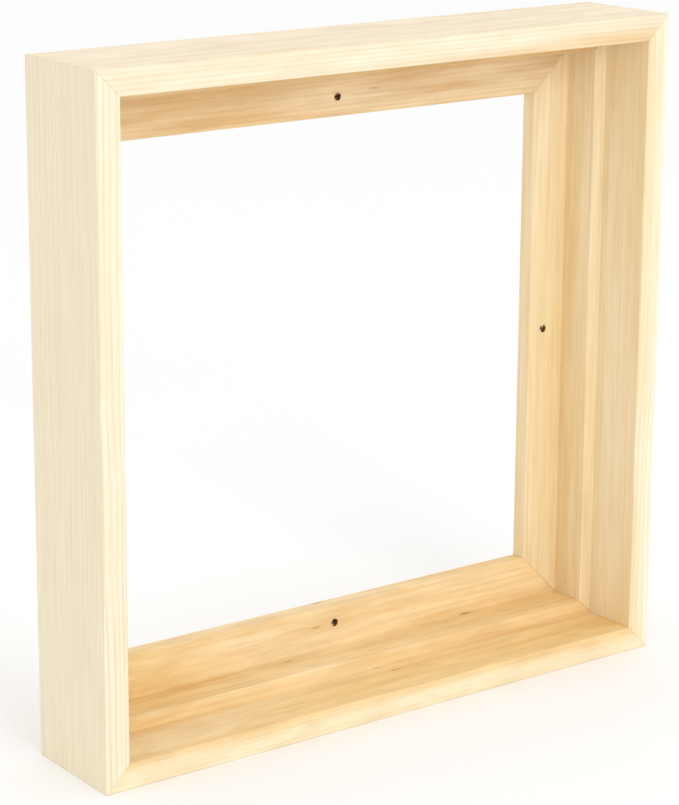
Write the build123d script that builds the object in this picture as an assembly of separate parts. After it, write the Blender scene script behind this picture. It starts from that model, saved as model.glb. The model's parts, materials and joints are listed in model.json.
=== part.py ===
from build123d import *
import math
import os

# A square floating frame: four mitred rails of one stepped hardwood moulding.
# The artwork drops in from the front, rests on a rear flange, and is screwed on from behind.
# X runs along the width, Y from front to back and Z up. The frame stands on its bottom rail,
# with the origin under its middle. Left and right are as seen from the front.

# ---- Driving dimensions, in millimetres and degrees ----

# Artwork that the frame is made for
artwork_width = 254.0
artwork_height = 254.0
artwork_depth = 38.1
artwork_clearance = 0.8      # each side, between the artwork and the rear walls
artwork_recess = 6.35        # from the frame's face back to the artwork's face

# Moulding
face_width = 11.1            # the narrow front face
float_step = 6.35            # how far the front wall stands off behind the face
gap_depth = 27.0             # from the face back to the step
flange_width = 19.6          # from the rear wall in to the flange's edge
flange_thickness = 7.6
edge_break = 0.5             # radius on the moulding's long outward corners

# Screw hole at the middle of each flange
artwork_hole_diameter = 3.5
artwork_hole_edge = 8.2      # from the hole's centre to the flange's edge

# V-shaped corner nails, driven from behind across each mitre
nail_leg = 5.0
nail_thickness = 0.6
nail_height = 10.0
nail_outer_cover = 4.0       # wood between the outer nail and the outside of the frame
nail_inner_cover = 1.5       # wood between the inner nail and the rear wall

# Hanger straps, each folded round the straight side of a D-shaped ring
hanger_drop = 85.0           # from the top of the frame down to the ring's axis
hanger_margin = 2.0          # wood between the ring and the outside of the frame
strap_width = 10.0
strap_gauge = 0.8            # thickness of the sheet, which lies double on the wood
strap_fold_radius = 1.6      # where the upper sheet comes down off the knuckle
strap_hole_clearance = 0.25  # radial, round the screw
strap_screw_gap = 0.8        # between the hanging ring's end and the screw's head

# D-shaped rings
ring_wire = 2.0
ring_side_gap = 1.5          # between the strap's edge and the ring's leg
ring_leg = 3.0               # from the axis to the start of the round end
ring_corner = 2.2            # bend radius of the two square corners
ring_end_gap = 0.4           # between the wire's two ends, inside the strap
ring_running_clearance = 0.05
ring_rest_gap = 0.3          # between the hanging ring and the strap below it

# Pan-head screws
screw_diameter = 3.5
screw_length = 12.0
screw_tip = 3.0
screw_point_radius = 0.01    # what is left at the tip's very end
screw_head_diameter = 6.4
screw_head_height = 2.0
screw_head_rim = 0.667        # height of the head's straight edge, below its crown
screw_recess_depth = 1.2
screw_recess_width = 0.9
screw_recess_span = 3.4

# Round wall bumpers
bumper_diameter = 11.0
bumper_height = 4.8
bumper_rise = 48.0           # from the bottom of the frame

# ---- Sizes that follow ----

seat_inset = face_width + float_step
flange_inset = seat_inset + flange_width
seat_depth = artwork_recess + artwork_depth
frame_depth = seat_depth + flange_thickness
frame_width = artwork_width + 2 * (artwork_clearance + seat_inset)
frame_height = artwork_height + 2 * (artwork_clearance + seat_inset)

# The bumpers stand furthest out at the back, so they set the middle of the whole depth.
front_y = -(frame_depth + bumper_height) / 2
back_y = front_y + frame_depth

ring_radius = ring_wire / 2
ring_half_width = strap_width / 2 + ring_side_gap + ring_radius
knuckle_bore = ring_radius + ring_running_clearance
knuckle_radius = knuckle_bore + strap_gauge
ring_axis_y = back_y + knuckle_radius
ring_axis_z = frame_height - hanger_drop
strap_top_y = back_y + 2 * strap_gauge
ring_reach = ring_leg + ring_half_width
strap_reach = ring_reach + ring_radius + strap_screw_gap + screw_head_diameter / 2
hanger_inset = hanger_margin + ring_radius + ring_half_width
ring_rest_lift = strap_top_y + ring_rest_gap + ring_radius - ring_axis_y
ring_lean = math.degrees(math.asin(ring_rest_lift / ring_reach))

REARWARD = (0, 1, 0)


def moulding(length):
    """One straight length of the moulding along X, with its outside face down at z = 0."""
    outline = Polyline(
        (front_y, 0),
        (front_y, face_width),
        (front_y + gap_depth, face_width),
        (front_y + gap_depth, seat_inset),
        (front_y + seat_depth, seat_inset),
        (front_y + seat_depth, flange_inset),
        (back_y, flange_inset),
        (back_y, 0),
        close=True,
    )
    section = make_face(outline)
    step_corner = (front_y + gap_depth, face_width)
    seat_corner = (front_y + seat_depth, seat_inset)
    outward = [
        corner
        for corner in section.vertices()
        if math.dist((corner.X, corner.Y), step_corner) > edge_break
        and math.dist((corner.X, corner.Y), seat_corner) > edge_break
    ]
    section = fillet(outward, edge_break)
    across = Plane(origin=(-length / 2, 0, 0), x_dir=REARWARD, z_dir=(1, 0, 0))
    return extrude(across * section, amount=length)


def mitred_rail(length):
    """A rail with both ends cut at 45 degrees and the artwork's screw hole drilled at its middle."""
    half = length / 2
    trapezium = Polyline(
        (-half, 0),
        (half, 0),
        (half - flange_inset, flange_inset),
        (-half + flange_inset, flange_inset),
        close=True,
    )
    front = Plane(origin=(0, front_y, 0), x_dir=(1, 0, 0), z_dir=(0, -1, 0))
    rail = moulding(length) & extrude(front * make_face(trapezium), amount=-frame_depth)
    hole_z = flange_inset - artwork_hole_edge
    drill = Plane(origin=(0, front_y, hole_z), z_dir=REARWARD)
    return rail - extrude(drill * Circle(artwork_hole_diameter / 2), amount=frame_depth)


def placed(rail, turn, x, z):
    """The rail turned about Y and moved to its side of the frame."""
    return Pos(x, 0, z) * Rot(0, turn, 0) * rail


def corner_nail(inset):
    """One V nail at the lower left corner, its point on the mitre at this inset from both sides."""
    back = Plane(origin=(-frame_width / 2, back_y, 0), x_dir=(1, 0, 0), z_dir=(0, -1, 0))
    legs = Polyline(
        (inset, inset),
        (inset + nail_leg, inset),
        (inset + nail_leg, inset + nail_thickness),
        (inset + nail_thickness, inset + nail_thickness),
        (inset + nail_thickness, inset + nail_leg),
        (inset, inset + nail_leg),
        close=True,
    )
    return extrude(back * make_face(legs), amount=nail_height)


def corner_nails(from_right, from_top):
    """The two nails of one corner, mirrored from the lower left one."""
    inner = seat_inset - nail_inner_cover - nail_leg
    nails = [corner_nail(inset) for inset in (nail_outer_cover, inner)]
    if from_right:
        nails = [mirror(nail, about=Plane.YZ) for nail in nails]
    if from_top:
        middle = Plane.XY.offset(frame_height / 2)
        nails = [mirror(nail, about=middle) for nail in nails]
    return nails


def screw_axis(x):
    """The plane on the strap's top at the screw, looking out of the back of the frame."""
    return Plane(origin=(x, strap_top_y, ring_axis_z - strap_reach), x_dir=(1, 0, 0), z_dir=REARWARD)


def hanger_screw(x):
    """A pan-head screw with a cross recess, through the strap and into the stile."""
    seat = screw_axis(x)
    radius = screw_diameter / 2
    head_radius = screw_head_diameter / 2
    crown_rise = screw_head_height - screw_head_rim
    crown_radius = (head_radius**2 + crown_rise**2) / (2 * crown_rise)
    crown = RadiusArc((0, screw_head_height), (head_radius, screw_head_rim), crown_radius)
    outline = Polyline(
        crown @ 1,
        (head_radius, 0),
        (radius, 0),
        (radius, screw_tip - screw_length),
        (0, -screw_length),
        (0, screw_head_height),
    )
    half_section = make_face([crown, outline])
    screw = revolve(Plane.XZ * half_section, axis=Axis.Z)
    for span in ((screw_recess_span, screw_recess_width), (screw_recess_width, screw_recess_span)):
        recess = Box(*span, 2 * screw_recess_depth)
        screw -= Pos(0, 0, screw_head_height) * recess
    return seat.location * screw


def screw_pilot(x):
    """What the screw's shank takes up in the stile."""
    seat = screw_axis(x).offset(-2 * strap_gauge)
    straight = screw_length - screw_tip - 2 * strap_gauge
    shank = extrude(Circle(screw_diameter / 2), amount=-straight)
    below = (Align.CENTER, Align.CENTER, Align.MAX)
    tip = Cone(screw_point_radius, screw_diameter / 2, screw_tip, align=below)
    return seat.location * (shank + Pos(0, 0, -straight) * tip)


def strap_section():
    """The folded sheet from the side: rearward from the wood, and up from the ring's axis."""
    axis = (knuckle_radius, 0)
    foot = -strap_reach - strap_width / 2
    lift = 2 * strap_gauge + strap_fold_radius - knuckle_radius
    span = knuckle_radius + strap_fold_radius
    drop = math.sqrt(span**2 - lift**2)
    outer_meet = (knuckle_radius + lift * knuckle_radius / span, -drop * knuckle_radius / span)
    inner_meet = (knuckle_radius + lift * knuckle_bore / span, -drop * knuckle_bore / span)
    knuckle = ThreePointArc((0, 0), (knuckle_radius, knuckle_radius), outer_meet)
    fold = TangentArc(outer_meet, (2 * strap_gauge, -drop), tangent=knuckle % 1)
    sheet = Polyline((2 * strap_gauge, -drop), (2 * strap_gauge, foot), (0, foot), (0, 0))
    inner_fold = TangentArc((strap_gauge, -drop), inner_meet, tangent=(0, 1))
    inner_side = Polyline(inner_meet, axis, (strap_gauge, 0), (strap_gauge, -drop))
    hollow = make_face([inner_fold, inner_side]) + Pos(*axis) * Circle(knuckle_bore)
    return make_face([knuckle, fold, sheet]) - hollow


def hanger_strap(x):
    """Sheet folded double round the ring, with a round foot at the screw."""
    side = Plane(origin=(x - strap_width / 2, back_y, ring_axis_z), x_dir=REARWARD, z_dir=(1, 0, 0))
    folded = extrude(side * strap_section(), amount=strap_width)
    back = Plane(origin=(x, back_y, ring_axis_z - strap_reach), x_dir=(-1, 0, 0), z_dir=REARWARD)
    length = strap_reach + knuckle_radius
    outline = Pos(0, length / 2) * Rectangle(strap_width, length) + Circle(strap_width / 2)
    hole = Circle(screw_diameter / 2 + strap_hole_clearance)
    return folded & extrude(back * (outline - hole), amount=2 * knuckle_radius)


def hanging_ring(x):
    """The D-shaped ring as it hangs, leaning on its strap, with its wire's ends in the knuckle."""
    half = ring_half_width
    gap = ring_end_gap / 2
    right_bar = Line((gap, 0), (half - ring_corner, 0))
    right_bend = TangentArc(right_bar @ 1, (half, -ring_corner), tangent=right_bar % 1)
    right_leg = Line(right_bend @ 1, (half, -ring_leg))
    end = ThreePointArc((half, -ring_leg), (0, -ring_reach), (-half, -ring_leg))
    left_leg = Line((-half, -ring_leg), (-half, -ring_corner))
    left_bend = TangentArc(left_leg @ 1, (ring_corner - half, 0), tangent=left_leg % 1)
    left_bar = Line(left_bend @ 1, (-gap, 0))
    path = Wire([right_bar, right_bend, right_leg, end, left_leg, left_bend, left_bar])
    wire_start = Plane(origin=path @ 0, z_dir=path % 0)
    ring = sweep(wire_start * Circle(ring_radius), path=path)
    upright = Plane(origin=(x, ring_axis_y, ring_axis_z), x_dir=(1, 0, 0), z_dir=(0, -1, 0))
    return upright.location * (Rot(ring_lean, 0, 0) * ring)


def wall_bumper(x):
    """A soft dome stuck to the back of a stile."""
    radius = bumper_diameter / 2
    crown_radius = (radius**2 + bumper_height**2) / (2 * bumper_height)
    base = Plane(origin=(x, back_y, bumper_rise), x_dir=(1, 0, 0), z_dir=REARWARD)
    dome = Pos(0, 0, bumper_height - crown_radius) * Sphere(crown_radius)
    slab = extrude(Circle(bumper_diameter), amount=bumper_height)
    return base.location * (dome & slab)


# ---- The pieces ----

pieces = {
    "bottom_rail": placed(mitred_rail(frame_width), 0, 0, 0),
    "top_rail": placed(mitred_rail(frame_width), 180, 0, frame_height),
    "left_stile": placed(mitred_rail(frame_height), 90, -frame_width / 2, frame_height / 2),
    "right_stile": placed(mitred_rail(frame_height), -90, frame_width / 2, frame_height / 2),
}

for side, sign in (("left", -1), ("right", 1)):
    x = sign * (frame_width / 2 - hanger_inset)
    for end in ("bottom", "top"):
        nails = corner_nails(side == "right", end == "top")
        for wood in (f"{end}_rail", f"{side}_stile"):
            for nail in nails:
                pieces[wood] -= nail
        pieces[f"{end}_{side}_corner_nails"] = Compound(children=nails)
    pieces[f"{side}_stile"] -= screw_pilot(x)
    pieces[f"{side}_hanger_strap"] = hanger_strap(x)
    pieces[f"{side}_hanger_screw"] = hanger_screw(x)
    pieces[f"{side}_hanging_ring"] = hanging_ring(x)
    pieces[f"{side}_wall_bumper"] = wall_bumper(x)

os.makedirs("parts", exist_ok=True)
for name, piece in pieces.items():
    export_step(piece, f"parts/{name}.step")
    box = piece.bounding_box()
    print(f"{name:28s} {box.size.X:8.2f} {box.size.Y:8.2f} {box.size.Z:8.2f}")
print(f"outside {frame_width:.2f} x {frame_height:.2f} x {frame_depth:.2f}")
print(f"front {front_y:.3f} back {back_y:.3f}")
print(f"ring axis {ring_axis_y:.3f} {ring_axis_z:.3f} lean {ring_lean:.3f}")
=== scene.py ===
import json
import math
import random

import bmesh
import bpy
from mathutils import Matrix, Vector


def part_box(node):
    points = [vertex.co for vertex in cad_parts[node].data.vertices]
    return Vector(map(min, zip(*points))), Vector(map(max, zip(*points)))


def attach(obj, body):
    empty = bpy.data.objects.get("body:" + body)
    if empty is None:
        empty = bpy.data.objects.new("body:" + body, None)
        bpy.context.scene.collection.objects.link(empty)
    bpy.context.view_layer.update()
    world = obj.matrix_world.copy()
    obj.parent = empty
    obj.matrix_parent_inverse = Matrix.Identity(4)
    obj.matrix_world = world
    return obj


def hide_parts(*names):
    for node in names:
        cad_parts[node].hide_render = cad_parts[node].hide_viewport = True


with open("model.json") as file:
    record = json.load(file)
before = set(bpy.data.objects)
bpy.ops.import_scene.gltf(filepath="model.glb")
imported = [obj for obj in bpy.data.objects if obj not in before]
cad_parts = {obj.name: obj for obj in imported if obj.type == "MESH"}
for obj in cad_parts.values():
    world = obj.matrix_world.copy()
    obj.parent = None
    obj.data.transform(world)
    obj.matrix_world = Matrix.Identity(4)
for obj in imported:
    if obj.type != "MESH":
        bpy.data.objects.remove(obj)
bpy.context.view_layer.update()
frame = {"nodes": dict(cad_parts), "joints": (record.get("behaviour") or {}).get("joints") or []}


# ---- Floor, light and camera ----
# The frame stands on a plain white sweep under a white sky, as on a product table. A soft light
# from the front and a little above makes the faces, the step and the flange brighter than the
# walls between them.

floor_size = 60
bpy.ops.object.select_all(action="DESELECT")
bpy.ops.mesh.primitive_plane_add(size=floor_size)
floor = bpy.context.object
floor.name = "floor"

sky_strength = 1.05
world = bpy.data.worlds.new("studio")
bpy.context.scene.world = world
world.use_nodes = True
world.node_tree.nodes["Background"].inputs["Color"].default_value = (1.0, 1.0, 1.0, 1.0)
world.node_tree.nodes["Background"].inputs["Strength"].default_value = sky_strength

rail_low, rail_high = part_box("bottom_rail")
frame_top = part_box("top_rail")[1].z
middle = Vector((0, (rail_low.y + rail_high.y) / 2, frame_top / 2))

key_place = Vector((-0.2, -2.1, 1.0))
key_size = 0.9
key_power = 11.0
bpy.ops.object.light_add(type="AREA", location=key_place)
key = bpy.context.object
key.data.size = key_size
key.data.energy = key_power
key.rotation_euler = (middle - key_place).to_track_quat("-Z", "Y").to_euler()


def backward(turn, rise):
    """The way back from the frame at a turn round it and a rise above it, in degrees."""
    turn, rise = math.radians(turn), math.radians(rise)
    level = math.cos(rise)
    return Vector((math.sin(turn) * level, -math.cos(turn) * level, math.sin(rise)))


camera_distance = 1.1164
camera_lens = 117.95
camera_shift = (0.08, -0.08)
stand_turn, stand_rise = -37.131, 14.971
aim_turn, aim_rise = -35.178, 14.17
stand = middle + camera_distance * backward(stand_turn, stand_rise)
aim = -backward(aim_turn, aim_rise)
bpy.ops.object.camera_add(location=stand, rotation=aim.to_track_quat("-Z", "Y").to_euler())
camera = bpy.context.object
camera.data.lens = camera_lens
camera.data.shift_x, camera.data.shift_y = camera_shift
bpy.context.scene.camera = camera
bpy.context.scene.view_settings.view_transform = "Standard"


def linear(code):
    """An sRGB hex colour as linear RGBA."""
    levels = [int(code[place:place + 2], 16) / 255 for place in (1, 3, 5)]
    light = [v / 12.92 if v <= 0.04045 else ((v + 0.055) / 1.055) ** 2.4 for v in levels]
    return (*light, 1.0)


def node(tree, kind, inputs=(), stops=(), **settings):
    """Adds a node with its settings and ramp stops, and sets or links each input named."""
    made = tree.nodes.new("ShaderNode" + kind)
    for name, value in settings.items():
        setattr(made, name, value)
    for place, (position, colour) in enumerate(stops):
        elements = made.color_ramp.elements
        stop = elements[place] if place < 2 else elements.new(position)
        stop.position, stop.color = position, colour
    for name, value in dict(inputs).items():
        if isinstance(value, bpy.types.NodeSocket):
            tree.links.new(value, made.inputs[name])
        else:
            made.inputs[name].default_value = value
    return made


def new_material(name):
    """A material with an empty Principled shader: the material, its tree and the shader."""
    made = bpy.data.materials.new(name)
    made.use_nodes = True
    return made, made.node_tree, made.node_tree.nodes["Principled BSDF"]


# Matt white laminate, with a roughness that drifts a little over the sheet.
floor_paint, tree, shader = new_material("matt_white_laminate")
place = node(tree, "TexCoord").outputs["Object"]
drift = node(tree, "TexNoise", {"Vector": place, "Scale": 2.0, "Detail": 2.0})
rough = node(tree, "MapRange", {"Value": drift.outputs[0], "To Min": 0.75, "To Max": 0.9})
tree.links.new(rough.outputs[0], shader.inputs["Roughness"])
shader.inputs["Base Color"].default_value = linear("#F6F6F6")
shader.inputs["Specular IOR Level"].default_value = 0.2
floor.data.materials.append(floor_paint)


# ---- Rails ----
# Four mitred lengths of one stepped moulding: a narrow face, a wall, a small step, a second wall,
# and a flange at the back for the artwork to rest on. They are planed from a pale hardwood,
# sanded, left bare and glued at the corners. Each flange has one drilled screw hole.

front, back = rail_low.y, rail_high.y
rail_length = rail_high.x - rail_low.x
flange_height = rail_high.z
face_height = 0.0111
seat_height = 0.01745
step_at = front + 0.027
seat_at = back - 0.0076
edge_round = 0.0005
joint_chamfer = 0.00018
same_place = 0.000001        # points closer than this are merged
blank_excess = 0.02          # cut off again with the mitres
right_angle = math.pi / 2


def choose(kind, test):
    """In edit mode, selects only the verts, edges or faces that pass the test."""
    bpy.ops.mesh.select_mode(type=kind[:-1].upper())
    bpy.ops.mesh.select_all(action="DESELECT")
    mesh = bmesh.from_edit_mesh(bpy.context.object.data)
    mesh.normal_update()
    for element in getattr(mesh, kind):
        if test(element):
            element.select_set(True)
    mesh.select_flush_mode()
    bmesh.update_edit_mesh(bpy.context.object.data)


bpy.ops.object.select_all(action="DESELECT")
bpy.ops.mesh.primitive_cube_add(
    size=1,
    location=(0, (front + back) / 2, face_height / 2),
    scale=(rail_length + blank_excess, back - front, face_height),
)
rail = bpy.context.object
bpy.ops.object.transform_apply()
bpy.ops.object.mode_set(mode="EDIT")
for cut_at, rise in ((step_at, seat_height - face_height), (seat_at, flange_height - seat_height)):
    bpy.ops.mesh.select_all(action="SELECT")
    bpy.ops.mesh.bisect(plane_co=(0, cut_at, 0), plane_no=(0, 1, 0))
    choose("faces", lambda f: f.normal.z > 0.9 and f.calc_center_median().y > cut_at)
    bpy.ops.mesh.extrude_region_move(TRANSFORM_OT_translate={"value": (0, 0, rise)})
bpy.ops.mesh.select_all(action="SELECT")
bpy.ops.mesh.dissolve_limited(angle_limit=0.01)
choose("edges", lambda e: e.is_convex and e.calc_length() > rail_length)
bpy.ops.mesh.bevel(offset=edge_round, segments=3, affect="EDGES")
for end in (-1, 1):
    bpy.ops.mesh.select_all(action="SELECT")
    bpy.ops.mesh.bisect(
        plane_co=(end * rail_length / 2, 0, 0),
        plane_no=(end, 0, 1),
        use_fill=True,
        clear_outer=True,
    )


def on_mitre(face):
    """True for the two slanting end faces."""
    return abs(face.normal.x) > 0.7 and face.normal.z > 0.7


choose("edges", lambda e: any(on_mitre(f) for f in e.link_faces))
bpy.ops.mesh.bevel(offset=joint_chamfer, segments=2, affect="EDGES")


def ends_a_flat(edge):
    """True where a face that runs along the rail meets the joint's chamfer."""
    lean = sorted(abs(f.normal.x) for f in edge.link_faces)
    return lean[0] < 0.01 and lean[-1] > 0.1


choose("edges", ends_a_flat)
bpy.ops.mesh.mark_sharp()
bpy.ops.object.mode_set(mode="OBJECT")


def carve(target, cutter, operation="DIFFERENCE"):
    """Cuts the target with the cutter, or keeps only what they share, and removes the cutter."""
    bpy.ops.object.select_all(action="DESELECT")
    target.select_set(True)
    bpy.context.view_layer.objects.active = target
    bpy.ops.object.modifier_add(type="BOOLEAN")
    change = target.modifiers[-1]
    change.operation = operation
    change.solver = "EXACT"
    change.object = cutter
    bpy.ops.object.modifier_apply(modifier=change.name)
    bpy.data.objects.remove(cutter)


seat_play = 0.000023         # sideways
seat_overrun = 0.0005        # how far the cutter stands out behind the wood


def joined_copy(name):
    """A copy of a CAD node with its loose triangles merged, to cut its own seat with.

    It stands out behind the wood, and two hundredths of a millimetre to one side, so that none of
    its faces or edges lies in a face of the wood.
    """
    copy = frame["nodes"][name].copy()
    copy.data = copy.data.copy()
    copy.parent = None
    copy.data.materials.clear()
    bpy.context.collection.objects.link(copy)
    bpy.ops.object.select_all(action="DESELECT")
    copy.select_set(True)
    bpy.context.view_layer.objects.active = copy
    bpy.ops.object.mode_set(mode="EDIT")
    bpy.ops.mesh.select_all(action="SELECT")
    bpy.ops.mesh.remove_doubles(threshold=same_place)
    choose("verts", lambda v: v.co.y > back - seat_play)
    bpy.ops.transform.translate(value=(0, seat_overrun, 0))
    bpy.ops.mesh.select_all(action="SELECT")
    bpy.ops.transform.translate(value=(seat_play, 0, 0))
    bpy.ops.object.mode_set(mode="OBJECT")
    return copy


hole_radius = 0.00175
hole_height = flange_height - 0.0082
hole_raggedness = 0.00012    # how far the torn rim wanders
hole_sides = 30
splinter_count = 11
splinter_length = (0.0008, 0.0021)
splinter_width = 0.0002
splinter_roots = 0.0002      # how deep each is rooted in the wood
splinter_arc = 0.42 * math.pi    # above and below level, round the hole's two grain ends
splinter_lift = (12, 50)     # degrees off the flange
splinter_slant = 35          # degrees off the grain
smooth_below = math.radians(35)
rails = {
    "bottom_rail": (0.0, (0, 0, 0)),
    "top_rail": (math.pi, (0, 0, frame_top)),
    "left_stile": (right_angle, (-rail_length / 2, 0, frame_top / 2)),
    "right_stile": (-right_angle, (rail_length / 2, 0, frame_top / 2)),
}
corners = {
    "bottom_rail": ("bottom_left", "bottom_right"),
    "top_rail": ("top_left", "top_right"),
    "left_stile": ("bottom_left", "top_left"),
    "right_stile": ("bottom_right", "top_right"),
}


def smooth(piece):
    """Smooths round edges, keeps sharp ones, and leaves the flats flat."""
    bpy.ops.object.select_all(action="DESELECT")
    piece.select_set(True)
    bpy.context.view_layer.objects.active = piece
    bpy.ops.object.shade_smooth_by_angle(angle=smooth_below)
    bpy.ops.object.modifier_add(type="WEIGHTED_NORMAL")
    piece.modifiers[-1].keep_sharp = True
    bpy.ops.object.modifier_apply(modifier=piece.modifiers[-1].name)


def ragged_drill(dice):
    """A drill a little off round, for the hole at the middle of a flange."""
    bpy.ops.object.select_all(action="DESELECT")
    bpy.ops.mesh.primitive_cylinder_add(
        vertices=hole_sides,
        radius=hole_radius,
        depth=4 * (back - seat_at),
        location=(0, seat_at, hole_height),
        rotation=(right_angle, 0, 0),
    )
    bpy.ops.object.transform_apply()
    drill = bpy.context.object
    for vertex in drill.data.vertices:
        outward = Vector((vertex.co.x, 0, vertex.co.z - hole_height)).normalized()
        vertex.co += dice.uniform(-hole_raggedness, hole_raggedness) * outward
    return drill


def splinter(dice):
    """A torn fibre at the hole's rim, lying roughly along the grain and lifted off the flange."""
    side = dice.choice((-1, 1))
    around = dice.uniform(-splinter_arc, splinter_arc)
    lift = math.radians(dice.uniform(*splinter_lift))
    slant = math.radians(dice.uniform(-splinter_slant, splinter_slant))
    length = dice.uniform(*splinter_length)
    way = side * dice.choice((-1, -1, 1))
    bpy.ops.object.select_all(action="DESELECT")
    bpy.ops.mesh.primitive_cone_add(
        vertices=5,
        radius1=splinter_width * dice.uniform(0.6, 1.3),
        radius2=splinter_width / 8,
        depth=length,
    )
    made = bpy.context.object
    bpy.ops.object.mode_set(mode="EDIT")
    choose("edges", lambda e: e.calc_length() > length / 2)
    bpy.ops.mesh.subdivide(number_cuts=2)
    choose("verts", lambda v: v.co.z > length / 4)
    bpy.ops.transform.translate(value=(dice.uniform(-1, 1) * splinter_width, 0, 0))
    bpy.ops.transform.resize(value=(0.8, 0.8, 1))
    bpy.ops.object.mode_set(mode="OBJECT")
    pointing = Vector((
        way * math.cos(lift) * math.cos(slant),
        -math.sin(lift),
        way * math.cos(lift) * math.sin(slant),
    ))
    root = Vector((
        side * hole_radius * math.cos(around),
        seat_at,
        hole_height + hole_radius * math.sin(around),
    ))
    made.location = root + (length / 2 - splinter_roots) * pointing
    made.rotation_euler = pointing.to_track_quat("Z", "Y").to_euler()
    bpy.ops.object.transform_apply()
    return made


def hardwood(
    name, start, pale, tan, deep, pith, ring_pitch, ring_depth, streak_depth, tan_and_shade_line, figure
):
    """Planed and sanded pale hardwood: fine growth rings, and streaks, tan towards the moulding's
    inner side, partly the wood's own tone and partly painted warm shade of the recess.

    The grain runs along the rail. Start shifts the pattern, pith is the tree's centre across
    the rail, and the tan line is where the tan begins: its height and how much that falls along X.
    Inwards of that line the tan is partly painted warm shade of the recess.
    Figure is how much the wood's soft patches and brown flecks show.
    """
    made, tree, shader = new_material(f"sanded_hardwood_{name}")
    turn, place = rails[name]
    own = node(
        tree,
        "Mapping",
        {
            "Vector": node(tree, "TexCoord").outputs["Object"],
            "Rotation": (0, turn, 0),
            "Location": place,
        },
        vector_type="TEXTURE",
    ).outputs[0]
    wood = node(tree, "VectorMath", {0: own, 1: start}, operation="ADD").outputs[0]

    # The trunk's slow wander: a few millimetres over a hand's breadth of grain.
    slow = node(tree, "VectorMath", {0: wood, 1: (3.0, 24.0, 24.0)}, operation="MULTIPLY")
    wander = node(tree, "TexNoise", {"Vector": slow.outputs[0], "Scale": 1.0, "Detail": 2.0})
    centred = node(
        tree, "VectorMath", {0: wander.outputs["Color"], 1: (0.5, 0.5, 0.5)}, operation="SUBTRACT"
    )
    offset = node(
        tree, "VectorMath", {0: centred.outputs[0], 1: (0, 0.012, 0.012)}, operation="MULTIPLY"
    )
    bent = node(tree, "VectorMath", {0: wood, 1: offset.outputs[0]}, operation="ADD")
    from_pith = node(
        tree, "VectorMath", {0: bent.outputs[0], 1: (0, *pith)}, operation="SUBTRACT"
    )

    # Growth rings. The wave repeats every 0.31416 of its own units.
    rings = node(
        tree,
        "TexWave",
        {
            "Vector": from_pith.outputs[0],
            "Scale": 0.31416 / ring_pitch,
            "Distortion": 2.2,
            "Detail": 2.0,
            "Detail Scale": 0.12,
        },
        wave_type="RINGS",
        rings_direction="X",
        wave_profile="SAW",
    )
    late_wood = node(
        tree,
        "ValToRGB",
        {"Fac": rings.outputs["Fac"]},
        stops=(
            (0.0, (0, 0, 0, 1)),
            (0.55, (0.12, 0.12, 0.12, 1)),
            (0.86, (1, 1, 1, 1)),
            (1.0, (0.1, 0.1, 0.1, 1)),
        ),
    )

    # Fibres 1.4 mm apart and far longer, drawn coarser than real ones so that they show.
    fine = node(tree, "VectorMath", {0: wood, 1: (11.0, 700.0, 700.0)}, operation="MULTIPLY")
    fibres = node(
        tree, "TexNoise", {"Vector": fine.outputs[0], "Scale": 1.0, "Detail": 3.0, "Roughness": 0.6}
    )

    # The line where the tan begins, which wanders a few millimetres. Inwards of it the tan is
    # partly the wood's own tone and partly painted warm shade of the recess.
    line_height, line_fall = tan_and_shade_line
    height = node(
        tree,
        "VectorMath",
        {0: own, 1: (line_fall, 0.12, 1.0)},
        operation="DOT_PRODUCT",
    )
    uneven = node(
        tree,
        "Math",
        {0: wander.outputs["Fac"], 1: 0.022, 2: height.outputs["Value"]},
        operation="MULTIPLY_ADD",
    )
    tan_and_painted_shade = node(
        tree,
        "MapRange",
        {
            "Value": uneven.outputs[0],
            "From Min": line_height + 0.007,
            "From Max": line_height + 0.015,
            "To Min": 0.12,
        },
        interpolation_type="SMOOTHSTEP",
    )

    # Tan bands, 20 to 50 mm wide, that fade in and out along the rail.
    broad = node(
        tree, "VectorMath", {0: bent.outputs[0], 1: (5.0, 38.0, 38.0)}, operation="MULTIPLY"
    )
    bands = node(
        tree,
        "TexNoise",
        {"Vector": broad.outputs[0], "Scale": 1.0, "Detail": 3.0, "Roughness": 0.5},
    )
    band = node(
        tree,
        "MapRange",
        {"Value": bands.outputs[0], "From Min": 0.3, "From Max": 0.6, "To Min": 0.35},
    )
    tanned = node(
        tree, "Math", {0: band.outputs[0], 1: tan_and_painted_shade.outputs[0]}, operation="MULTIPLY"
    )

    # Streaks 3 to 6 mm wide and ten times as long.
    narrow = node(
        tree, "VectorMath", {0: bent.outputs[0], 1: (16.0, 210.0, 210.0)}, operation="MULTIPLY"
    )
    streaks = node(
        tree,
        "TexNoise",
        {
            "Vector": narrow.outputs[0],
            "Scale": 1.0,
            "Detail": 4.0,
            "Roughness": 0.55,
            "Distortion": 0.5,
        },
    )
    streak = node(
        tree,
        "MapRange",
        {"Value": streaks.outputs[0], "From Min": 0.42, "From Max": 0.72, "To Max": streak_depth},
    )
    streaked = node(
        tree, "Math", {0: streak.outputs[0], 1: tan_and_painted_shade.outputs[0]}, operation="MULTIPLY"
    )

    # Soft patches 8 mm across and 25 mm long where the figure catches the light.
    patchy = node(tree, "VectorMath", {0: wood, 1: (38.0, 130.0, 130.0)}, operation="MULTIPLY")
    patches = node(
        tree,
        "TexNoise",
        {"Vector": patchy.outputs[0], "Scale": 1.0, "Detail": 2.0, "Distortion": 0.6},
    )

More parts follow.
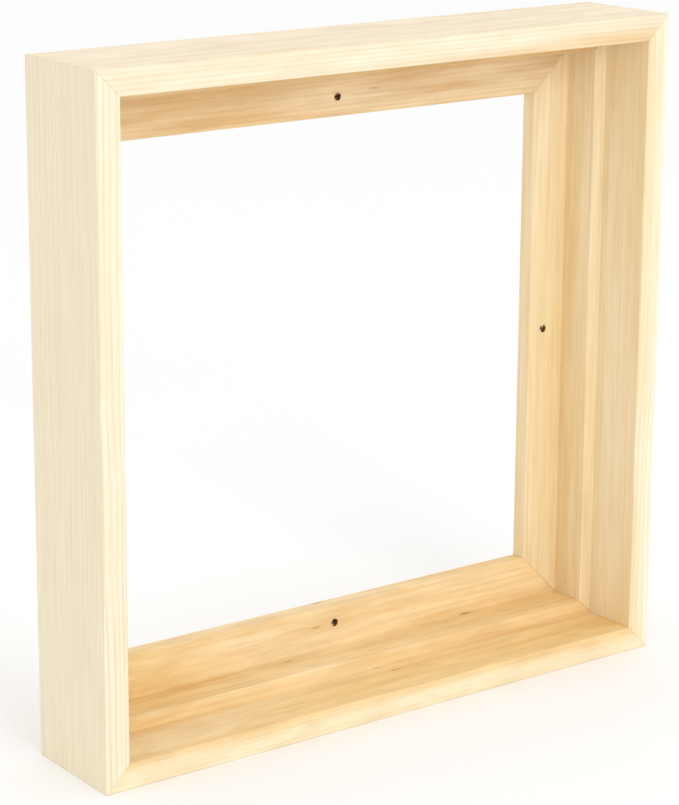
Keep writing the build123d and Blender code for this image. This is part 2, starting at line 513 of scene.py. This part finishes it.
    # Brown flecks, a few millimetres long and under one wide, rarer where there is less figure.
    cells = node(tree, "VectorMath", {0: wood, 1: (52.0, 330.0, 330.0)}, operation="MULTIPLY")
    fleck_cells = node(tree, "TexVoronoi", {"Vector": cells.outputs[0], "Scale": 1.0})
    near = node(
        tree,
        "MapRange",
        {"Value": fleck_cells.outputs["Distance"], "From Min": 0.22, "From Max": 0.06},
    )
    rare = node(
        tree,
        "Math",
        {0: fleck_cells.outputs["Color"], 1: 1 - 0.18 * figure},
        operation="GREATER_THAN",
    )
    fleck = node(tree, "Math", {0: near.outputs[0], 1: rare.outputs[0]}, operation="MULTIPLY")

    banded = node(
        tree, "MixRGB", {"Fac": tanned.outputs[0], "Color1": linear(pale), "Color2": linear(tan)}
    )
    tone = node(
        tree,
        "MixRGB",
        {"Fac": streaked.outputs[0], "Color1": banded.outputs[0], "Color2": linear(deep)},
    )
    ring_share = node(
        tree, "Math", {0: late_wood.outputs[0], 1: ring_depth}, operation="MULTIPLY"
    )
    ringed = node(
        tree,
        "MixRGB",
        {"Fac": ring_share.outputs[0], "Color1": tone.outputs[0], "Color2": linear(deep)},
    )
    fibre_shade = node(
        tree,
        "ValToRGB",
        {"Fac": fibres.outputs[0]},
        stops=((0.3, (0.90, 0.87, 0.80, 1)), (0.62, (1, 1, 1, 1))),
    )
    fibred = node(
        tree,
        "MixRGB",
        {"Fac": 0.75, "Color1": ringed.outputs[0], "Color2": fibre_shade.outputs[0]},
        blend_type="MULTIPLY",
    )
    patch_shade = node(
        tree,
        "ValToRGB",
        {"Fac": patches.outputs[0]},
        stops=((0.35, (0.93, 0.90, 0.84, 1)), (0.65, (1.04, 1.04, 1.04, 1))),
    )
    figured = node(
        tree,
        "MixRGB",
        {"Fac": figure, "Color1": fibred.outputs[0], "Color2": patch_shade.outputs[0]},
        blend_type="MULTIPLY",
    )
    flecked = node(
        tree,
        "MixRGB",
        {"Fac": fleck.outputs[0], "Color1": figured.outputs[0], "Color2": linear("#B0824A")},
    )
    tree.links.new(flecked.outputs[0], shader.inputs["Base Color"])

    rough = node(
        tree, "MapRange", {"Value": fibres.outputs[0], "To Min": 0.52, "To Max": 0.7}
    )
    tree.links.new(rough.outputs[0], shader.inputs["Roughness"])
    shader.inputs["Specular IOR Level"].default_value = 0.3
    raised = node(
        tree,
        "Math",
        {0: fibres.outputs[0], 1: late_wood.outputs[0], 2: 0.4},
        operation="MULTIPLY_ADD",
    )
    bump = node(
        tree, "Bump", {"Height": raised.outputs[0], "Strength": 0.35, "Distance": 0.00004}
    )
    tree.links.new(bump.outputs[0], shader.inputs["Normal"])
    return made


# A twist drill leaves the bore rough. Its dark brown, mottled by the torn fibres, is painted
# shade inside the hole.
bored_wood, tree, shader = new_material("hardwood_bore_painted_shade")
torn = node(
    tree,
    "TexNoise",
    {"Vector": node(tree, "TexCoord").outputs["Object"], "Scale": 1800.0, "Detail": 3.0},
)
# Dark brown painted shade inside the hole.
bore_painted_shade = node(
    tree,
    "ValToRGB",
    {"Fac": torn.outputs[0]},
    stops=((0.35, linear("#4A3014")), (0.7, linear("#A87840"))),
)
tree.links.new(bore_painted_shade.outputs[0], shader.inputs["Base Color"])
shader.inputs["Roughness"].default_value = 0.85
bump = node(tree, "Bump", {"Height": torn.outputs[0], "Strength": 0.6, "Distance": 0.0001})
tree.links.new(bump.outputs[0], shader.inputs["Normal"])

wood_finish = {
    "bottom_rail": hardwood(
        "bottom_rail", (0.31, 0.02, 0.0), "#F5E6C8", "#EFD096", "#DDB06C",
        pith=(-0.055, 0.085), ring_pitch=0.0019, ring_depth=0.12, streak_depth=0.5,
        tan_and_shade_line=(0.007, 0.0), figure=0.9,
    ),
    "top_rail": hardwood(
        "top_rail", (1.73, 0.05, 0.0), "#F3E8D2", "#E6C691", "#CFA264",
        pith=(0.11, 0.40), ring_pitch=0.0021, ring_depth=0.2, streak_depth=0.6,
        tan_and_shade_line=(0.009, -0.05), figure=0.6,
    ),
    "left_stile": hardwood(
        "left_stile", (0.9, 0.0, 0.1), "#F1E7CF", "#EADBBA", "#D3BE92",
        pith=(-0.16, 0.02), ring_pitch=0.0014, ring_depth=0.42, streak_depth=0.3,
        tan_and_shade_line=(0.008, 0.0), figure=0.2,
    ),
    "right_stile": hardwood(
        "right_stile", (2.6, 0.0, -0.1), "#F6EDD8", "#EED9AE", "#E0BF86",
        pith=(-0.13, -0.03), ring_pitch=0.0015, ring_depth=0.25, streak_depth=0.4,
        tan_and_shade_line=(0.004, 0.0), figure=0.3,
    ),
}

for name, (turn, place) in rails.items():
    dice = random.Random(name)
    wood = rail.copy()
    wood.data = rail.data.copy()
    wood.name = f"{name}_wood"
    bpy.context.collection.objects.link(wood)
    wood.data.materials.append(wood_finish[name])
    wood.data.materials.append(bored_wood)
    drill = ragged_drill(dice)
    drill.data.materials.append(wood_finish[name])
    drill.data.materials.append(bored_wood)
    for face in drill.data.polygons:
        face.material_index = 1
    carve(wood, drill)
    fibres = [splinter(dice) for _ in range(splinter_count)]
    bpy.ops.object.select_all(action="DESELECT")
    for fibre in fibres:
        fibre.data.materials.append(wood_finish[name])
        fibre.select_set(True)
    wood.select_set(True)
    bpy.context.view_layer.objects.active = wood
    bpy.ops.object.join()
    wood.rotation_euler = (0, turn, 0)
    wood.location = place
    bpy.ops.object.transform_apply()
    cutters = [f"{corner}_corner_nails" for corner in corners[name]]
    if name.endswith("stile"):
        cutters.append(name.replace("stile", "hanger_screw"))
    for cutter in cutters:
        carve(wood, joined_copy(cutter))
    smooth(wood)
    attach(wood, "frame")
    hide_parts(name)
bpy.data.objects.remove(rail)


# ---- Corner nails ----
# Two V-shaped nails of thin steel strip are driven from behind across each mitre until they are
# flush with the wood, to hold the joint while its glue sets. Only their rear edges show.

# Cold-rolled strip: grey and half dull, with a fine mottle from the rolls.
strip_steel, tree, shader = new_material("cold_rolled_steel_strip")
place = node(tree, "TexCoord").outputs["Object"]
mottle = node(tree, "TexNoise", {"Vector": place, "Scale": 900.0, "Detail": 3.0})
strip_colour = node(
    tree,
    "ValToRGB",
    {"Fac": mottle.outputs[0]},
    stops=((0.3, linear("#8E8D8B")), (0.7, linear("#B9B8B5"))),
)
tree.links.new(strip_colour.outputs[0], shader.inputs["Base Color"])
rough = node(tree, "MapRange", {"Value": mottle.outputs[0], "To Min": 0.35, "To Max": 0.6})
tree.links.new(rough.outputs[0], shader.inputs["Roughness"])
shader.inputs["Metallic"].default_value = 1.0
for corner in ("bottom_left", "bottom_right", "top_left", "top_right"):
    nails = frame["nodes"][f"{corner}_corner_nails"]
    nails.data.materials.clear()
    nails.data.materials.append(strip_steel)


# ---- Hanger straps ----
# A steel strip is folded double round the straight side of each ring, so that it makes the
# knuckle the ring swings in, and a screw through its round foot holds it to the stile. It was
# blanked and folded in a press, then nickel plated.

hinge = Vector(frame["joints"][1]["pos_m"])
strap_low, strap_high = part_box("right_hanger_strap")
strap_width = strap_high.x - strap_low.x
strap_gauge = 0.0008
sheet_gap = 0.00004          # what daylight there is between the two layers
knuckle_mid = hinge.y - back - strap_gauge / 2     # radius to the middle of the sheet
fold_mid = 0.002             # the same, where the upper layer comes down off the knuckle
foot_z = strap_low.z
screw_z = foot_z + strap_width / 2
strap_hole_radius = 0.002
strap_edge = 0.0001
fold_y = back + 1.5 * strap_gauge + fold_mid
fold_run = fold_y - hinge.y
fold_drop = math.sqrt((knuckle_mid + fold_mid) ** 2 - fold_run**2)
fold_angle = math.acos(fold_run / (knuckle_mid + fold_mid))

bpy.ops.object.select_all(action="DESELECT")
bpy.ops.mesh.primitive_plane_add(
    size=1,
    location=(0, back + strap_gauge / 2, (foot_z + hinge.z) / 2),
    rotation=(right_angle, 0, 0),
)
strap = bpy.context.object
strap.scale = (strap_width, hinge.z - foot_z, 1)
bpy.ops.object.transform_apply()
bpy.ops.object.mode_set(mode="EDIT")
choose("edges", lambda e: all(v.co.z > hinge.z - strap_edge for v in e.verts))
bpy.ops.mesh.spin(
    steps=26, angle=math.pi + fold_angle, center=(0, hinge.y, hinge.z), axis=(1, 0, 0)
)
bpy.ops.mesh.spin(
    steps=8, angle=fold_angle, center=(0, fold_y, hinge.z - fold_drop), axis=(-1, 0, 0)
)
bpy.ops.mesh.extrude_region_move(
    TRANSFORM_OT_translate={"value": (0, 0, foot_z - hinge.z + fold_drop)}
)
bpy.ops.mesh.select_all(action="SELECT")
bpy.ops.mesh.remove_doubles(threshold=same_place)
bpy.ops.mesh.normals_make_consistent(inside=False)
bpy.ops.object.mode_set(mode="OBJECT")
bpy.ops.object.modifier_add(type="SOLIDIFY")
strap.modifiers[-1].thickness = strap_gauge - sheet_gap
strap.modifiers[-1].offset = 0.0
strap.modifiers[-1].use_even_offset = True
bpy.ops.object.modifier_apply(modifier=strap.modifiers[-1].name)


def round_bar(radius, sides):
    """A round bar through the strap at its screw, to cut with."""
    bpy.ops.object.select_all(action="DESELECT")
    bpy.ops.mesh.primitive_cylinder_add(
        vertices=sides,
        radius=radius,
        depth=2 * strap_width,
        location=(0, back, screw_z),
        rotation=(right_angle, 0, 0),
    )
    bpy.ops.object.transform_apply()
    return bpy.context.object


outline = round_bar(strap_width / 2, 48)
bpy.ops.object.select_all(action="DESELECT")
bpy.ops.mesh.primitive_cube_add(
    size=1,
    location=(0, back, screw_z + strap_width),
    scale=(1.2 * strap_width, 2 * strap_width, 2 * strap_width),
)
bpy.ops.object.transform_apply()
carve(outline, bpy.context.object, "UNION")
carve(strap, outline, "INTERSECT")
carve(strap, round_bar(strap_hole_radius, 32))
bpy.ops.object.modifier_add(type="BEVEL")
strap.modifiers[-1].width = strap_edge
strap.modifiers[-1].segments = 2
strap.modifiers[-1].angle_limit = math.radians(50)
bpy.ops.object.modifier_apply(modifier=strap.modifiers[-1].name)
smooth(strap)

# Bright nickel over pressed steel: warm grey, with cloudy wear and short scuffs.
nickel, tree, shader = new_material("nickel_plated_steel")
place = node(tree, "TexCoord").outputs["Object"]
cloud = node(tree, "TexNoise", {"Vector": place, "Scale": 260.0, "Detail": 3.0})
scuff_run = node(
    tree, "Mapping", {"Vector": place, "Rotation": (0.4, 0.9, 0.3), "Scale": (400.0, 400.0, 4000.0)}
)
scuffs = node(tree, "TexNoise", {"Vector": scuff_run.outputs[0], "Scale": 1.0, "Detail": 2.0})
nickel_colour = node(
    tree,
    "ValToRGB",
    {"Fac": cloud.outputs[0]},
    stops=((0.35, linear("#BDB6A8")), (0.65, linear("#D8D2C6"))),
)
tree.links.new(nickel_colour.outputs[0], shader.inputs["Base Color"])
wear = node(
    tree, "Math", {0: cloud.outputs[0], 1: scuffs.outputs[0]}, operation="MULTIPLY"
)
rough = node(
    tree, "MapRange", {"Value": wear.outputs[0], "From Max": 0.5, "To Min": 0.18, "To Max": 0.42}
)
tree.links.new(rough.outputs[0], shader.inputs["Roughness"])
shader.inputs["Metallic"].default_value = 1.0
bump = node(
    tree, "Bump", {"Height": scuffs.outputs[0], "Strength": 0.15, "Distance": 0.00002}
)
tree.links.new(bump.outputs[0], shader.inputs["Normal"])
strap.data.materials.append(nickel)

sides = {"left": -hinge.x, "right": hinge.x}


def placed_copy(piece, name, place, turn=0.0):
    """A copy with its own mesh, turned about Y and moved, with both put into the mesh."""
    copy = piece.copy()
    copy.data = piece.data.copy()
    copy.name = name
    bpy.context.collection.objects.link(copy)
    copy.location = place
    copy.rotation_euler = (0, turn, 0)
    bpy.ops.object.select_all(action="DESELECT")
    copy.select_set(True)
    bpy.context.view_layer.objects.active = copy
    bpy.ops.object.transform_apply()
    return copy


for side, x in sides.items():
    sheet = placed_copy(strap, f"{side}_strap_sheet", (x, 0, 0))
    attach(sheet, "frame")
    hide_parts(f"{side}_hanger_strap")
bpy.data.objects.remove(strap)


# ---- Hanging rings ----
# Each ring is round steel wire bent to a D. Its two ends nearly meet inside the strap's knuckle,
# where it swings on its straight side. It is plated with the same nickel as the strap.

wire_radius = 0.001
wire_end = 0.0002            # from the middle to each end of the wire
ring_half = 0.0075
ring_corner = 0.0022
ring_leg = 0.003
ring_lean = math.radians(5.739)

bpy.ops.object.select_all(action="DESELECT")
bpy.ops.mesh.primitive_circle_add(
    vertices=20, radius=wire_radius, location=(0, hinge.y, hinge.z), rotation=(0, right_angle, 0)
)
ring = bpy.context.object
bpy.ops.object.transform_apply(location=False)
bpy.ops.object.mode_set(mode="EDIT")
bpy.ops.mesh.select_all(action="SELECT")
bpy.ops.transform.translate(value=(wire_end, 0, 0))
bend_x = ring_half - ring_corner
bend_z = hinge.z - ring_corner
leg_run = (0, 0, ring_corner - ring_leg)
bpy.ops.mesh.extrude_region_move(
    TRANSFORM_OT_translate={"value": (bend_x - wire_end, 0, 0)}
)
bpy.ops.mesh.spin(steps=8, angle=right_angle, center=(bend_x, hinge.y, bend_z), axis=(0, -1, 0))
bpy.ops.mesh.extrude_region_move(TRANSFORM_OT_translate={"value": leg_run})
bpy.ops.mesh.spin(
    steps=32, angle=math.pi, center=(0, hinge.y, hinge.z - ring_leg), axis=(0, -1, 0)
)
bpy.ops.mesh.extrude_region_move(TRANSFORM_OT_translate={"value": (0, 0, -leg_run[2])})
bpy.ops.mesh.spin(steps=8, angle=right_angle, center=(-bend_x, hinge.y, bend_z), axis=(0, -1, 0))
bpy.ops.mesh.extrude_region_move(
    TRANSFORM_OT_translate={"value": (bend_x - wire_end, 0, 0)}
)
bpy.ops.mesh.select_all(action="SELECT")
bpy.ops.mesh.remove_doubles(threshold=same_place)
bpy.ops.mesh.fill_holes(sides=0)
bpy.ops.mesh.normals_make_consistent(inside=False)
bpy.ops.object.mode_set(mode="OBJECT")
ring.rotation_euler = (ring_lean, 0, 0)
bpy.ops.object.transform_apply()
smooth(ring)
ring.data.materials.append(nickel)

for side, x in sides.items():
    wire = placed_copy(ring, f"{side}_ring_wire", (x, 0, 0))
    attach(wire, f"{side}_ring")
    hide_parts(f"{side}_hanging_ring")
bpy.data.objects.remove(ring)


# ---- Hanger screws ----
# One pan-head wood screw with a cross recess holds each strap. It is cold headed from steel wire
# and zinc plated. Its thread is out of sight in the stile and isn't cut.

seat_y = back + 2 * strap_gauge
head_radius = 0.0032
head_rim = 0.000667
head_height = 0.002
crown_rise = head_height - head_rim
crown_radius = (head_radius**2 + crown_rise**2) / (2 * crown_rise)
crown_steps = 6
crown_flat = 0.5             # the last half step is left flat
shank_radius = 0.00175
shank_length = 0.009
tip_length = 0.003
point_share = 0.05           # of the shank's width, left at the very point
recess_taper = 0.5           # width of the recess's floor, as a share of its mouth
recess_span = 0.0034
recess_width = 0.0009
recess_depth = 0.0012
screw_turns = {"left": math.radians(24), "right": math.radians(-37)}

bpy.ops.object.select_all(action="DESELECT")
bpy.ops.mesh.primitive_circle_add(
    vertices=36, radius=head_radius, fill_type="NGON", rotation=(-right_angle, 0, 0)
)
screw = bpy.context.object
bpy.ops.object.transform_apply()
bpy.ops.object.mode_set(mode="EDIT")
bpy.ops.mesh.select_all(action="SELECT")
bpy.ops.mesh.extrude_region_move(TRANSFORM_OT_translate={"value": (0, head_rim, 0)})
ring_radius, ring_height = head_radius, 0.0
for step in range(1, crown_steps + 1):
    next_height = crown_rise * math.sin(step / (crown_steps + crown_flat) * right_angle)
    next_radius = math.sqrt(
        max(crown_radius**2 - (next_height + crown_radius - crown_rise) ** 2, 0)
    )
    bpy.ops.mesh.extrude_region_move(
        TRANSFORM_OT_translate={"value": (0, next_height - ring_height, 0)}
    )
    shrink = next_radius / ring_radius
    bpy.ops.transform.resize(value=(shrink, 1, shrink), center_override=(0, 0, 0))
    ring_radius, ring_height = next_radius, next_height
choose("faces", lambda f: f.normal.y < -0.9)
bpy.ops.mesh.inset(thickness=head_radius - shank_radius)
for run, shrink in ((shank_length, 1.0), (tip_length, point_share)):
    bpy.ops.mesh.extrude_region_move(TRANSFORM_OT_translate={"value": (0, -run, 0)})
    bpy.ops.transform.resize(value=(shrink, 1, shrink), center_override=(0, 0, 0))
bpy.ops.mesh.select_all(action="SELECT")
bpy.ops.mesh.normals_make_consistent(inside=False)
bpy.ops.object.mode_set(mode="OBJECT")
for size in ((recess_span, recess_width), (recess_width, recess_span)):
    bpy.ops.object.select_all(action="DESELECT")
    bpy.ops.mesh.primitive_cube_add(
        size=1, location=(0, head_height, 0), scale=(size[0], 2 * recess_depth, size[1])
    )
    wing = bpy.context.object
    bpy.ops.object.transform_apply()
    bpy.ops.object.mode_set(mode="EDIT")
    choose("faces", lambda f: f.normal.y < -0.9)
    bpy.ops.transform.resize(value=(recess_taper, 1, recess_taper), center_override=(0, 0, 0))
    bpy.ops.object.mode_set(mode="OBJECT")
    carve(screw, wing)
smooth(screw)

# Clear zinc plate: cool grey with a faint straw bloom, duller in patches.
zinc, tree, shader = new_material("zinc_plated_steel")
place = node(tree, "TexCoord").outputs["Object"]
bloom = node(tree, "TexNoise", {"Vector": place, "Scale": 420.0, "Detail": 2.0})
zinc_colour = node(
    tree,
    "ValToRGB",
    {"Fac": bloom.outputs[0]},
    stops=((0.35, linear("#C4C2B4")), (0.65, linear("#D6D6D2"))),
)
tree.links.new(zinc_colour.outputs[0], shader.inputs["Base Color"])
rough = node(tree, "MapRange", {"Value": bloom.outputs[0], "To Min": 0.22, "To Max": 0.45})
tree.links.new(rough.outputs[0], shader.inputs["Roughness"])
shader.inputs["Metallic"].default_value = 1.0
screw.data.materials.append(zinc)

for side, x in sides.items():
    body = placed_copy(screw, f"{side}_screw_body", (x, seat_y, screw_z), screw_turns[side])
    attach(body, "frame")
    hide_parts(f"{side}_hanger_screw")
bpy.data.objects.remove(screw)


# ---- Wall bumpers ----
# A soft dome near the bottom of each stile keeps the frame off the wall. It is moulded rubber
# with a gate mark at its crown, stuck on by its flat back.

bumper_low, bumper_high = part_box("right_wall_bumper")
dome_base = (bumper_high.x - bumper_low.x) / 2
dome_height = bumper_high.y - back
dome_radius = (dome_base**2 + dome_height**2) / (2 * dome_height)
bumper_z = (bumper_low.z + bumper_high.z) / 2
bumper_x = (bumper_low.x + bumper_high.x) / 2
gate_radius = 0.0003
gate_depth = 0.00008
bumper_edge = 0.0002

bpy.ops.object.select_all(action="DESELECT")
bpy.ops.mesh.primitive_uv_sphere_add(
    segments=36,
    ring_count=40,
    radius=dome_radius,
    location=(0, back + dome_height - dome_radius, bumper_z),
    rotation=(right_angle, 0, 0),
)
dome = bpy.context.object
bpy.ops.object.transform_apply()
bpy.ops.object.mode_set(mode="EDIT")
bpy.ops.mesh.select_all(action="SELECT")
bpy.ops.mesh.bisect(
    plane_co=(0, back, 0), plane_no=(0, -1, 0), use_fill=True, clear_outer=True
)
choose(
    "verts",
    lambda v: v.co.y > back + gate_radius
    and math.hypot(v.co.x, v.co.z - bumper_z) < gate_radius,
)
bpy.ops.transform.translate(value=(0, -gate_depth, 0))
choose("edges", lambda e: all(v.co.y < back + gate_depth / 100 for v in e.verts))
bpy.ops.mesh.bevel(offset=bumper_edge, segments=2, affect="EDGES")
bpy.ops.object.mode_set(mode="OBJECT")
smooth(dome)

# Matt moulded rubber: dark warm grey, with a fine eggshell grain from the mould and a little dust.
rubber, tree, shader = new_material("moulded_rubber")
place = node(tree, "TexCoord").outputs["Object"]
dust = node(tree, "TexNoise", {"Vector": place, "Scale": 700.0, "Detail": 4.0})
grain = node(tree, "TexNoise", {"Vector": place, "Scale": 2600.0, "Detail": 2.0})
rubber_colour = node(
    tree,
    "ValToRGB",
    {"Fac": dust.outputs[0]},
    stops=((0.4, linear("#454341")), (0.75, linear("#6A6763"))),
)
tree.links.new(rubber_colour.outputs[0], shader.inputs["Base Color"])
rough = node(tree, "MapRange", {"Value": dust.outputs[0], "To Min": 0.5, "To Max": 0.8})
tree.links.new(rough.outputs[0], shader.inputs["Roughness"])
bump = node(
    tree, "Bump", {"Height": grain.outputs[0], "Strength": 0.3, "Distance": 0.00003}
)
tree.links.new(bump.outputs[0], shader.inputs["Normal"])
dome.data.materials.append(rubber)

for side, x in (("left", -bumper_x), ("right", bumper_x)):
    bumper = placed_copy(dome, f"{side}_bumper_dome", (x, 0, 0))
    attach(bumper, "frame")
    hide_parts(f"{side}_wall_bumper")
bpy.data.objects.remove(dome)
